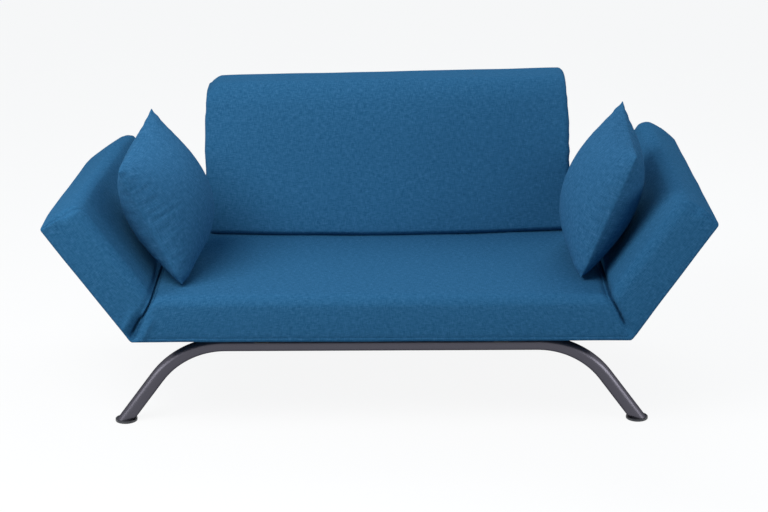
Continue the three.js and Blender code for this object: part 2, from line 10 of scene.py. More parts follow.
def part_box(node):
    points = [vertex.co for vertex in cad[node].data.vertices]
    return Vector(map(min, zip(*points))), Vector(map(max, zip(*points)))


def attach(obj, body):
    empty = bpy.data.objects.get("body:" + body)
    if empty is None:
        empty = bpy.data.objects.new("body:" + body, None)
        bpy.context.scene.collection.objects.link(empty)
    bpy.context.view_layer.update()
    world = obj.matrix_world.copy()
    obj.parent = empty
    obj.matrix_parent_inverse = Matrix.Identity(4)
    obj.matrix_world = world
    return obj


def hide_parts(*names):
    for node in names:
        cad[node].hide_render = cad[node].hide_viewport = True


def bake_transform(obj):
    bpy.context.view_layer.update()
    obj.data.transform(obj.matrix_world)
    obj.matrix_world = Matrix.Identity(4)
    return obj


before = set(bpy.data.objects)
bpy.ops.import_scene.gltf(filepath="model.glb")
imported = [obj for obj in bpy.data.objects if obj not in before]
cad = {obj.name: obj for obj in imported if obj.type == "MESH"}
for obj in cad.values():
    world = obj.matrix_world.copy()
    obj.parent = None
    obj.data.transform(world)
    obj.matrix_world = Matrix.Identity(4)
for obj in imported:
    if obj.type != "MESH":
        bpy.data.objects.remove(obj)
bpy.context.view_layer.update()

bpy.ops.object.select_all(action="DESELECT")

# Leg bows: one steel tube each, 38 mm across with a 2 mm wall, bent down at both ends into slanting legs.
# They are powder coated in metallic graphite, and sawn level where they stand in the feet.
TUBE_RADIUS, TUBE_WALL, TUBE_HEIGHT = 0.019, 0.002, 0.2137
STRAIGHT_HALF, BEND_RADIUS, BEND_ANGLE = 0.408, 0.225, math.radians(53.5)
LEG_OVERRUN, SAWN_AT, BOW_Y = 0.3, 0.0042, 0.298
TUBE_SIDES, BEND_STEPS = 40, 20
MERGE_DISTANCE = 0.00005
GRAPHITE, GRAPHITE_EDGE = (0.083, 0.08, 0.098), (0.15, 0.15, 0.17)
FLECK_SCALE, MARKS_SCALE, PEEL_SCALE, PEEL_DEPTH = 1600, 22, 420, 0.00005


def material_nodes(name, **settings):
    """A new material with values on its Principled shader's own sockets, and its nodes and links."""
    made = bpy.data.materials.new(name)
    made.use_nodes = True
    shader = made.node_tree.nodes["Principled BSDF"]
    for socket, value in settings.items():
        shader.inputs[socket.replace("_", " ")].default_value = value
    return made, shader, made.node_tree.nodes, made.node_tree.links


def noise_over(nodes, links, place, scale, detail=2):
    """Noise of about this many cells per unit of the coordinates that it is read at."""
    pattern = nodes.new("ShaderNodeTexNoise")
    pattern.inputs["Scale"].default_value = scale
    pattern.inputs["Detail"].default_value = detail
    links.new(place, pattern.inputs["Vector"])
    return pattern.outputs["Fac"]


def colour_by(nodes, links, shader, share, stops):
    """Colours the surface along a ramp, given as (position, colour) stops."""
    ramp = nodes.new("ShaderNodeValToRGB")
    while len(ramp.color_ramp.elements) < len(stops):
        ramp.color_ramp.elements.new(0.5)
    for stop, (position, colour) in zip(ramp.color_ramp.elements, stops):
        stop.position = position
        stop.color = (*colour, 1)
    links.new(share, ramp.inputs["Fac"])
    links.new(ramp.outputs["Color"], shader.inputs["Base Color"])


def roughness_by(nodes, links, shader, share, smoothest, roughest):
    gloss = nodes.new("ShaderNodeMapRange")
    gloss.inputs["To Min"].default_value = smoothest
    gloss.inputs["To Max"].default_value = roughest
    links.new(share, gloss.inputs["Value"])
    links.new(gloss.outputs["Result"], shader.inputs["Roughness"])


def bump_by(nodes, links, shader, height, depth):
    bump = nodes.new("ShaderNodeBump")
    bump.inputs["Distance"].default_value = depth
    links.new(height, bump.inputs["Height"])
    links.new(bump.outputs["Normal"], shader.inputs["Normal"])


def shades_of(colour, *factors):
    return [[channel * factor for channel in colour] for factor in factors]


def coated_steel(name, colour, edge, metallic, roughness, coat):
    """Paint on steel: a fine metallic fleck, faint handling marks and the coating's orange peel."""
    made, shader, nodes, links = material_nodes(
        name, Metallic=metallic, Specular_Tint=(*edge, 1), Coat_Weight=coat, Coat_Roughness=0.25,
    )
    place = nodes.new("ShaderNodeTexCoord").outputs["Object"]
    fleck = noise_over(nodes, links, place, FLECK_SCALE)
    colour_by(nodes, links, shader, fleck, list(zip((0.3, 0.72), shades_of(colour, 0.84, 1.2))))
    marks = noise_over(nodes, links, place, MARKS_SCALE, 6)
    roughness_by(nodes, links, shader, marks, roughness - 0.07, roughness + 0.1)
    peel = noise_over(nodes, links, place, PEEL_SCALE)
    bump_by(nodes, links, shader, peel, PEEL_DEPTH)
    return made


def finish_piece(piece, material, *modifiers):
    """Applies the modifiers that were put on a piece, then its place, and gives it its finish."""
    bpy.context.view_layer.objects.active = piece
    for modifier in modifiers:
        bpy.ops.object.modifier_apply(modifier=modifier)
    bpy.ops.object.select_all(action="DESELECT")
    piece.select_set(True)
    bpy.ops.object.transform_apply(location=True, rotation=True, scale=True)
    piece.data.materials.clear()
    piece.data.materials.append(material)


def bend_bow(name, y):
    """Half a bow drawn out from a circle, bent and sawn, then mirrored and given the tube's wall."""
    bpy.ops.mesh.primitive_circle_add(
        vertices=TUBE_SIDES, radius=TUBE_RADIUS, location=(0, y, TUBE_HEIGHT), rotation=(0, math.pi / 2, 0)
    )
    bow = bpy.context.object
    bow.name = name
    bpy.ops.object.transform_apply(location=True, rotation=True, scale=True)
    bpy.ops.object.mode_set(mode="EDIT")
    bpy.ops.mesh.select_all(action="SELECT")
    bpy.ops.mesh.extrude_edges_move(TRANSFORM_OT_translate={"value": (STRAIGHT_HALF, 0, 0)})
    bend_centre = (STRAIGHT_HALF, y, TUBE_HEIGHT - BEND_RADIUS)
    bpy.ops.mesh.spin(steps=BEND_STEPS, angle=-BEND_ANGLE, center=bend_centre, axis=(0, 1, 0))
    leg = (LEG_OVERRUN * math.cos(BEND_ANGLE), 0, -LEG_OVERRUN * math.sin(BEND_ANGLE))
    bpy.ops.mesh.extrude_edges_move(TRANSFORM_OT_translate={"value": leg})
    bpy.ops.mesh.select_all(action="SELECT")
    bpy.ops.mesh.bisect(plane_co=(0, 0, SAWN_AT), plane_no=(0, 0, -1), clear_outer=True)
    bpy.ops.object.mode_set(mode="OBJECT")
    mirror = bow.modifiers.new("other_leg", "MIRROR")
    mirror.merge_threshold = 2 * MERGE_DISTANCE
    bpy.ops.object.modifier_apply(modifier=mirror.name)
    bpy.ops.object.mode_set(mode="EDIT")
    bpy.ops.mesh.select_all(action="SELECT")
    bpy.ops.mesh.remove_doubles(threshold=MERGE_DISTANCE)
    bpy.ops.mesh.normals_make_consistent(inside=False)
    bpy.ops.object.mode_set(mode="OBJECT")
    wall = bow.modifiers.new("tube_wall", "SOLIDIFY")
    wall.thickness = TUBE_WALL
    wall.offset = -1
    finish_piece(bow, graphite, wall.name)
    bpy.ops.object.shade_smooth_by_angle(angle=math.radians(50))
    return bow


graphite = coated_steel("graphite_coating", GRAPHITE, GRAPHITE_EDGE, 0.9, 0.3, 0.1)
for row, side in (("front", -1), ("rear", 1)):
    bow = bend_bow(f"{row}_bow_tube", side * BOW_Y)
    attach(bow, "base")
    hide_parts(f"{row}_leg_bow")

# Feet: black plastic discs with a raised rim, each moulded on a slanted plug that fills the end of its
# leg tube. They spread the load and keep the tube off the floor.
FOOT_RADIUS, FOOT_BASE, FOOT_RIM, RIM_HEIGHT = 0.029, 0.004, 0.0022, 0.0013
FOOT_SIDES, FOOT_EDGE = 64, 0.0005
PLUG_RADIUS, PLUG_LENGTH, PLUG_SIDES = 0.0166, 0.06, 32
MOULD_GRAIN_SCALE, MOULD_GRAIN_DEPTH = 2400, 0.00008


def moulded_plastic(name, colour, roughness):
    """Matt plastic with the fine spark-eroded grain of its mould."""
    made, shader, nodes, links = material_nodes(name, Base_Color=(*colour, 1), Roughness=roughness)
    place = nodes.new("ShaderNodeTexCoord").outputs["Object"]
    bump_by(nodes, links, shader, noise_over(nodes, links, place, MOULD_GRAIN_SCALE, 3), MOULD_GRAIN_DEPTH)
    return made


def select_faces(piece, wanted):
    """Selects the faces of the piece in edit mode for which wanted(face) is true."""
    bpy.ops.mesh.select_mode(type="FACE")
    bpy.ops.mesh.select_all(action="DESELECT")
    mesh = bmesh.from_edit_mesh(piece.data)
    for face in mesh.faces:
        face.select_set(bool(wanted(face)))
    bmesh.update_edit_mesh(piece.data)


def faces_up(face):
    return face.normal.z > 0.9


def mould_foot(name, x, y):
    """A disc with its rim drawn up, and the plug joined to it."""
    bpy.ops.mesh.primitive_cylinder_add(
        vertices=FOOT_SIDES, radius=FOOT_RADIUS, depth=FOOT_BASE, location=(x, y, FOOT_BASE / 2)
    )
    foot = bpy.context.object
    foot.name = name
    bpy.ops.object.transform_apply(location=True, rotation=True, scale=True)
    bpy.ops.object.mode_set(mode="EDIT")
    select_faces(foot, faces_up)
    bpy.ops.mesh.inset(thickness=FOOT_RIM, depth=0)
    select_faces(foot, lambda face: faces_up(face) and len(face.verts) == 4)
    bpy.ops.mesh.extrude_region_move(TRANSFORM_OT_translate={"value": (0, 0, RIM_HEIGHT)})
    bpy.ops.object.mode_set(mode="OBJECT")
    soften = foot.modifiers.new("moulded_edges", "BEVEL")
    soften.width = FOOT_EDGE
    soften.segments = 2
    soften.limit_method = "ANGLE"
    finish_piece(foot, black_plastic, soften.name)
    lean = math.copysign(math.pi / 2 - BEND_ANGLE, x)
    bpy.ops.mesh.primitive_cylinder_add(
        vertices=PLUG_SIDES, radius=PLUG_RADIUS, depth=PLUG_LENGTH, location=(x, y, FOOT_BASE),
        rotation=(0, -lean, 0),
    )
    plug = bpy.context.object
    plug.data.materials.append(black_plastic)
    bpy.ops.object.transform_apply(location=True, rotation=True, scale=True)
    bpy.ops.object.mode_set(mode="EDIT")
    bpy.ops.mesh.select_all(action="SELECT")
    bpy.ops.mesh.bisect(plane_co=(0, 0, FOOT_BASE / 2), plane_no=(0, 0, -1), clear_outer=True, use_fill=True)
    bpy.ops.object.mode_set(mode="OBJECT")
    bpy.ops.object.select_all(action="DESELECT")
    plug.select_set(True)
    foot.select_set(True)
    bpy.context.view_layer.objects.active = foot
    bpy.ops.object.join()
    bpy.ops.object.shade_smooth_by_angle(angle=math.radians(35))
    return foot


black_plastic = moulded_plastic("black_moulded_plastic", (0.045, 0.045, 0.05), 0.45)
for row, y_side in (("front", -1), ("rear", 1)):
    for end, x_side in (("left", -1), ("right", 1)):
        node = f"{row}_{end}_foot"
        low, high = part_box(node)
        foot_x = x_side * (max(abs(low.x), abs(high.x)) - FOOT_RADIUS)
        foot = mould_foot(f"{row}_{end}_foot_disc", foot_x, y_side * BOW_Y)
        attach(foot, "base")
        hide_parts(node)

# Hidden steelwork and wood: two cross bars over the bows, square-tube frames and hinge forks under a satin
# grey coat, zinc-plated bolts, plates, pawls and springs, and beech slats with plywood decks on the frames.
STEEL_GREY, NO_TINT = (0.045, 0.047, 0.052), (1, 1, 1)
PLATED = (0.46, 0.48, 0.52)
SPANGLE_SCALE, SCRATCH_SCALE = 260, 900
GRAIN_STRETCH, GRAIN_SCALE, GRAIN_SWIRL, GRAIN_DEPTH = (60, 3, 60), 2.2, 1.2, 0.0003


def plated_steel(name, colour):
    """Bright zinc plating with the cloudy spangle and fine scratches that it takes in a barrel."""
    made, shader, nodes, links = material_nodes(name, Metallic=0.95)
    place = nodes.new("ShaderNodeTexCoord").outputs["Object"]
    spangle = nodes.new("ShaderNodeTexVoronoi")
    spangle.inputs["Scale"].default_value = SPANGLE_SCALE
    links.new(place, spangle.inputs["Vector"])
    stops = list(zip((0, 1), shades_of(colour, 0.75, 1.15)))
    colour_by(nodes, links, shader, spangle.outputs["Distance"], stops)
    roughness_by(nodes, links, shader, noise_over(nodes, links, place, SCRATCH_SCALE), 0.24, 0.46)
    return made


def grained_wood(name, light, dark):
    """Planed wood whose grain runs along Y, with growth lines and small pores."""
    made, shader, nodes, links = material_nodes(name, Roughness=0.55)
    stretch = nodes.new("ShaderNodeMapping")
    stretch.inputs["Scale"].default_value = GRAIN_STRETCH
    links.new(nodes.new("ShaderNodeTexCoord").outputs["Object"], stretch.inputs["Vector"])
    grain = noise_over(nodes, links, stretch.outputs["Vector"], GRAIN_SCALE, 8)
    grain.node.inputs["Distortion"].default_value = GRAIN_SWIRL
    colour_by(nodes, links, shader, grain, ((0.35, dark), (0.62, light)))
    bump_by(nodes, links, shader, grain, GRAIN_DEPTH)
    return made


grey_coating = coated_steel("satin_grey_coating", STEEL_GREY, NO_TINT, 0.35, 0.45, 0)
zinc_plating = plated_steel("zinc_plating", PLATED)
beech = grained_wood("planed_beech", (0.62, 0.4, 0.21), (0.42, 0.24, 0.11))
plywood = grained_wood("plywood_face", (0.66, 0.47, 0.28), (0.5, 0.33, 0.17))
for name, part in cad.items():
    if name.endswith(("_bar", "_rail", "_fork")):
        finish = grey_coating
    elif name.endswith(("_bolt", "_rivet", "_plate", "_pawl", "_spring")):
        finish = zinc_plating
    elif "slat" in name:
        finish = beech
    elif name.endswith("_board"):
        finish = plywood
    else:
        continue
    part.data.materials.clear()
    part.data.materials.append(finish)

# Seat: a foam block on the steel frame in a fitted cover of woven blue cloth. Its ends lean in along the
# folds, where the cloth turns in to join the arms. A stitched hem runs round the lower edge and hangs a
# little below the frame.
PIVOT_X, PIVOT_Z, PIVOT_RISE = 0.638, 0.275, 0.015
ARM_ANGLE = math.radians(56)
LEAN = ARM_ANGLE / 2
HALF_DEPTH, THICKNESS, UNDERSIDE = 0.4, 0.118, 0.26
TOP_RADIUS, HEM_RADIUS = 0.026, 0.008
SEAT_CROWN, FRONT_BULGE = 0.004, 0.003
HEM_HEIGHT, HEM_LINE, HEM_DROOP = 0.0115, 0.0012, 0.0043
SEAT_HEM_DEPTH, ARM_HEM_DEPTH = 0.0008, 0.0003
DROOP_ACROSS, DROOP_UPWARD = (0.365, 0.395), (0.004, 0.04)
CLOTH_THICKNESS, CLOTH_SMOOTHING = 0.0012, math.radians(60)
CLOTH_WAVES, WAVE_HEIGHT = (9, 9, 14), 0.0011
BLUE_SHADES = ((0.0095, 0.058, 0.131), (0.0225, 0.108, 0.219), (0.059, 0.179, 0.328))
SHADE_STOPS = (0.38, 0.565, 0.76)
YARN_COUNT, WEAVE_DEPTH = 900, 0.0004
# The crease of a fold: half the turned-in cloth, its soft shoulders, the V between them, and the pucker
# low on the side with a ridge beside it.
FOLD_HALF = 0.007
SHOULDER_REACH, SHOULDER_DEPTH, SHOULDER_EASE = 0.014, 0.005, 0.028
VALLEY_ON_TOP, VALLEY_ON_SIDE, VALLEY_POWER = 0.011, 0.015, 1.2
RIDGE_AT, RIDGE_WIDTH, RIDGE_HEIGHT, PUCKER_DEPTH = 0.027, 0.007, 0.004, 0.010
PUCKER_FOOT, PUCKER_TOP = (0, 0.012), (0.045, 0.075)
RIGHT_CREASE_FOOT = 0.024


def woven_cloth(name, shades):
    """Plain-woven melange cloth: light and dark yarns cross each other, seen from afar as fine flecks."""
    made, shader, nodes, links = material_nodes(
        name, Roughness=0.95, Specular_IOR_Level=0.02, Sheen_Weight=0.04, Sheen_Roughness=0.5,
        Sheen_Tint=(0.2, 0.55, 0.9, 1),
    )
    uv = nodes.new("ShaderNodeUVMap")
    uv.uv_map = "weave"

    def yarn(scale, detail):
        stretch = nodes.new("ShaderNodeMapping")
        stretch.inputs["Scale"].default_value = scale
        links.new(uv.outputs["UV"], stretch.inputs["Vector"])
        return noise_over(nodes, links, stretch.outputs["Vector"], 1, detail)

    def combine(kind, *values):
        mix = nodes.new("ShaderNodeMath")
        mix.operation = kind
        for socket, value in zip(mix.inputs, values):
            if isinstance(value, (int, float)):
                socket.default_value = value
            else:
                links.new(value, socket)
        return mix.outputs["Value"]

    weft, warp = yarn((70, 1150, 1), 2), yarn((1150, 70, 1), 2)
    over = nodes.new("ShaderNodeTexChecker")
    over.inputs["Scale"].default_value = YARN_COUNT
    links.new(uv.outputs["UV"], over.inputs["Vector"])
    threads = combine("MULTIPLY_ADD", combine("SUBTRACT", weft, warp), over.outputs["Fac"], warp)
    slubs = combine("ADD", yarn((60, 560, 1), 2), yarn((560, 60, 1), 2))
    clouds = yarn((90, 130, 1), 3)
    tone = combine("MULTIPLY_ADD", slubs, 0.22, combine("MULTIPLY", threads, 0.5))
    tone = combine("MULTIPLY_ADD", clouds, 0.2, tone)
    colour_by(nodes, links, shader, tone, list(zip(SHADE_STOPS, shades)))
    bump_by(nodes, links, shader, combine("MULTIPLY_ADD", slubs, 0.4, threads), WEAVE_DEPTH)
    return made


def stations(*runs):
    """Places of a grid's rows along a side, from runs of (where the run ends, how many steps it takes)."""
    places = [runs[0][0]]
    for (start, _), (end, steps) in zip(runs, runs[1:]):
        places.extend(np.linspace(start, end, steps + 1)[1:])
    return np.array(places)


def block_grid(name, rows):
    """A cube cut into a grid, whose vertices give their row numbers along X, Y and Z, ready to be shaped."""
    bpy.ops.mesh.primitive_cube_add(size=2)
    block = bpy.context.object
    block.name = name
    bpy.ops.object.mode_set(mode="EDIT")
    bpy.ops.mesh.select_mode(type="EDGE")
    for axis, places in enumerate(rows):
        bpy.ops.mesh.select_all(action="DESELECT")
        mesh = bmesh.from_edit_mesh(block.data)
        for edge in mesh.edges:
            edge.select_set(abs(edge.verts[0].co[axis] - edge.verts[1].co[axis]) > 0.001)
        bmesh.update_edit_mesh(block.data)
        bpy.ops.mesh.subdivide(number_cuts=len(places) - 2)
    bpy.ops.object.mode_set(mode="OBJECT")
    share = np.array([vertex.co for vertex in block.data.vertices])
    steps = np.array([len(places) - 1 for places in rows])
    return block, np.rint((share + 1) / 2 * steps).astype(int)


def open_ends(block, index, *ends):
    """Deletes the faces of the named ends, (axis, row number) each."""
    bpy.ops.object.mode_set(mode="EDIT")
    select_faces(block, lambda face: any(
        all(index[vertex.index][axis] == row for vertex in face.verts) for axis, row in ends
    ))
    bpy.ops.mesh.delete(type="FACE")
    bpy.ops.object.mode_set(mode="OBJECT")


def rounded(points, low, high, radius):
    """Points of a block's surface moved onto rounded edges, and the way that each faces."""
    inner = np.clip(points, low + radius, high - radius)
    out = points - inner
    facing = out / np.maximum(np.linalg.norm(out, axis=1, keepdims=True), 1e-9)
    return inner + facing * radius, facing


def swell(share, power):
    """1 in the middle of a side, falling to 0 at its ends, where the share is -1 and 1."""
    return 1 - np.minimum(1, np.abs(share)) ** power


def ease(values, start, end):
    """0 up to the start and 1 from the end on, with a smooth step between them."""
    t = np.clip((values - start) / (end - start), 0, 1)
    return t * t * (3 - 2 * t)


def ripple(points, scale, seed):
    """Smooth noise from -1 to 1 at each point, of a size set by the scale along each axis."""
    places = [Vector((p[0] * scale[0] + seed, p[1] * scale[1], p[2] * scale[2])) for p in points]
    return np.array([noise.noise(place) for place in places])


def lay_weave(block, index, last, flat):
    """The piece's own UV map in metres, with the yarns along and across each side of the flat block."""
    layer = block.data.uv_layers[0]
    layer.name = "weave"
    for face in block.data.polygons:
        rows = index[list(face.vertices)]
        level = [axis for axis in range(3) if (rows[:, axis] == rows[0, axis]).all()]
        side = [axis for axis in level if rows[0, axis] in (0, last[axis])][-1]
        first, second = [axis for axis in range(3) if axis != side]
        for corner in face.loop_indices:
            place = flat[block.data.loops[corner].vertex_index]
            layer.data[corner].uv = (place[first], place[second])


def set_points(block, points):
    block.data.vertices.foreach_set("co", points.astype(np.float32).ravel())
    block.data.update()


def round_section(x, y, height, end):
    """The mattress's section with its rounded edges, in rows at x along a length that stops at end."""
    radius = np.where(height > THICKNESS / 2, TOP_RADIUS, HEM_RADIUS)[:, None]
    low = np.array([-1, -HALF_DEPTH, 0])
    high = np.stack([end, np.full_like(y, HALF_DEPTH), np.full_like(y, THICKNESS)], axis=1)
    return rounded(np.stack([x, y, height], axis=1), low, high, radius)


def fill_section(points, plump, sideways):
    """The foam crowns the top and pushes the sides out. Gives each point's share of the height."""
    height_share = np.clip(points[:, 2] / THICKNESS, 0, 1)
    points[:, 2] += SEAT_CROWN * height_share * plump * swell(points[:, 1] / HALF_DEPTH, 6)
    points[:, 1] += np.sign(points[:, 1]) * FRONT_BULGE * swell(2 * height_share - 1, 2) * sideways
    return height_share


def crease_depth(u, facing, height, jog, foot, pucker):
    """How far the cloth sinks at a distance u from a fold: two soft shoulders and a V between them."""
    shoulder = (1 - np.clip((np.abs(u) - FOLD_HALF) / SHOULDER_REACH, 0, 1)) ** 2
    valley = np.clip(1 - np.abs(u - jog) / (FOLD_HALF - np.abs(jog)), 0, 1) ** VALLEY_POWER
    ridge = np.exp(-(((np.abs(u) - RIDGE_AT) / RIDGE_WIDTH) ** 2))
    top = SHOULDER_DEPTH * shoulder + VALLEY_ON_TOP * valley
    side = SHOULDER_DEPTH * shoulder * ease(height, 0, SHOULDER_EASE)
    side += VALLEY_ON_SIDE * valley * ease(height, foot, foot + SHOULDER_EASE)
    low_down = ease(height, *PUCKER_FOOT) * (1 - ease(height, *PUCKER_TOP))
    side += pucker * (PUCKER_DEPTH * shoulder - RIDGE_HEIGHT * ridge) * low_down
    return top * np.clip(facing[:, 2], 0, 1) ** 2 + side * facing[:, 1] ** 2


def hem_dip(height, facing, depth):
    """The fine valley of the hem's stitching round the lower edge."""
    return depth * np.exp(-(((height - HEM_HEIGHT) / HEM_LINE) ** 2)) * np.abs(facing[:, 1])


def hem_droop(y, height):
    """How far the seat's lower edge hangs below its underside, in front and behind."""
    return HEM_DROOP * ease(np.abs(y), *DROOP_ACROSS) * (1 - ease(height, *DROOP_UPWARD))


def point_faces_out(block):
    bpy.context.view_layer.objects.active = block
    bpy.ops.object.mode_set(mode="EDIT")
    bpy.ops.mesh.select_all(action="SELECT")
    bpy.ops.mesh.normals_make_consistent(inside=False)
    bpy.ops.object.mode_set(mode="OBJECT")


def wall_of_cloth(block, material):
    """Gives the shaped sheet its thickness on the inside and smooth shading, with its faces pointing out."""
    point_faces_out(block)
    wall = block.modifiers.new("cloth_wall", "SOLIDIFY")
    wall.thickness = CLOTH_THICKNESS
    wall.offset = -1
    finish_piece(block, material, wall.name)
    bpy.ops.object.shade_smooth_by_angle(angle=CLOTH_SMOOTHING)


ACROSS = stations((-HALF_DEPTH, 0), (-0.376, 10), (0.376, 54), (HALF_DEPTH, 10))
UPWARD = stations((0, 0), (0.008, 3), (0.010, 1), (0.013, 4), (0.020, 1), (0.090, 9), (THICKNESS, 7))
blue_cloth = woven_cloth("blue_melange_cloth", BLUE_SHADES)

seat_along = stations((-1, 0), (-0.95, 10), (0.95, 84), (1, 10))
seat, index = block_grid("seat_cushion", (seat_along, ACROSS, UPWARD))
last = [len(seat_along) - 1, len(ACROSS) - 1, len(UPWARD) - 1]
share, y, height = seat_along[index[:, 0]], ACROSS[index[:, 1]], UPWARD[index[:, 2]]
points, facing = round_section(np.zeros_like(y), y, height, np.ones_like(y))
flat = np.stack([share * PIVOT_X, y, height], axis=1)
fill_section(points, swell(share, 8), np.abs(facing[:, 1]))
reach = PIVOT_X - (points[:, 2] - PIVOT_RISE) * math.tan(LEAN) - FOLD_HALF / math.cos(LEAN)
points[:, 0] = share * reach
u = (np.abs(points[:, 0]) - PIVOT_X) * math.cos(LEAN) + (points[:, 2] - PIVOT_RISE) * math.sin(LEAN)
at_left = points[:, 0] < 0
crease = crease_depth(u, facing, height, 0, np.where(at_left, 0, RIGHT_CREASE_FOOT), at_left)
points -= facing * (crease + hem_dip(height, facing, SEAT_HEM_DEPTH))[:, None]
points += facing * (ripple(flat, CLOTH_WAVES, 3.1) * WAVE_HEIGHT * swell(share, 12))[:, None]
points[:, 2] += UNDERSIDE - hem_droop(y, height)
set_points(seat, points)
lay_weave(seat, index, last, flat)
open_ends(seat, index, (0, 0), (0, last[0]))
wall_of_cloth(seat, blue_cloth)
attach(seat, "base")
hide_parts("seat_cover", "seat_foam")

# Arms: the mattress's end sections, each a foam block on its own steel frame, folded up 56 degrees. The
# cover runs on from the seat over the fold, where it creases, and a sewn dart closes each front corner.
# The left arm's cover is the slacker one: its end is rounded at the rear, twisted and rolled in.
ARM_LENGTH = 0.362
SLACK_FROM, SLACK_TO, ROUND_FROM = -0.36, 0.25, 0.2
DART_DEPTH, DART_SPREAD = 0.0035, math.radians(11)
ROLLED_EDGE, ROLL_SOFTNESS = np.array([0.859, 0, -0.512]), 0.02
CORNER_SOFTNESS = 0.015
JOG_HEIGHT, JOG_SPAN = 0.062, 0.006
TUCK_START, TUCK_DEPTH = -0.009, 0.002
ARMS = {
    "left": {
        "side": -1, "slack": 0.022, "round_corner": 0.018, "twist": 0.034, "rolled": 0.022, "sag": 0.008,
        "soft_corner": 0.034, "bulge": 0.003, "jog": -0.0025, "foot": 0, "pucker": 1,
    },
    "right": {
        "side": 1, "slack": 0, "round_corner": 0, "twist": 0.008, "rolled": 0.004, "sag": 0,
        "soft_corner": 0.008, "bulge": 0.009, "jog": 0.0008, "foot": RIGHT_CREASE_FOOT, "pucker": 0,
    },
}


def draw_in(past, softness):
    """How far a point that is past an edge by this much is drawn back, softly at first."""
    return past**2 / (past + softness)


def shape_arm_end(points, facing, y, height, height_share, reach, in_fold, cut):
    """Darts at the front corners, the end's bulge and twist, its rolled edge and its softened rear corner."""
    turned_by = np.arctan2(np.abs(facing[:, 0]), np.abs(facing[:, 1])) - math.radians(45)
    dart = np.exp(-((turned_by / DART_SPREAD) ** 2)) * (np.abs(facing[:, 0]) > 0.1)
    points -= facing * (DART_DEPTH * dart * ease(height, 0, 0.02) * (y < 0))[:, None]
    points[:, 0] += cut["bulge"] * swell(2 * height_share - 1, 2) * np.clip(facing[:, 0], 0, 1) ** 2
    to_rear = np.clip((points[:, 1] / HALF_DEPTH + 1) / 2, 0, 1)
    to_end = np.clip(points[:, 0] / ARM_LENGTH, 0, 1) ** 2
    points[:, 2] += cut["twist"] * height_share * to_rear * to_end
    past = (points - np.stack([reach, y, 0 * y], axis=1)) @ ROLLED_EDGE + cut["rolled"] * to_rear
    past = np.maximum(past, 0) * ~in_fold
    points -= ROLLED_EDGE * draw_in(past, ROLL_SOFTNESS)[:, None]
    past = (points[:, 0] - reach + points[:, 1] - HALF_DEPTH) * math.sqrt(0.5) + cut["soft_corner"]
    past = np.maximum(past, 0) * ~in_fold
    points[:, :2] -= (draw_in(past, CORNER_SOFTNESS) * math.sqrt(0.5))[:, None]


def fold_strip(u, points, facing, y, height, sunk):
    """The cloth over the fold, from the pivot's underside up to the mattress's top, at u across it."""
    bottom = -np.sqrt(np.maximum(PIVOT_RISE**2 - u**2, 0))
    top = (THICKNESS - PIVOT_RISE + np.abs(u) * math.sin(LEAN)) / math.cos(LEAN)
    v = bottom + (top - bottom) * points[:, 2] / THICKNESS - facing[:, 2] * sunk
    droop = hem_droop(y, height) * (1 - ease(u, -FOLD_HALF, FOLD_HALF))
    return (
        u * math.cos(LEAN) - v * math.sin(LEAN),
        points[:, 1] - facing[:, 1] * sunk,
        u * math.sin(LEAN) + v * math.cos(LEAN) - droop,
    )


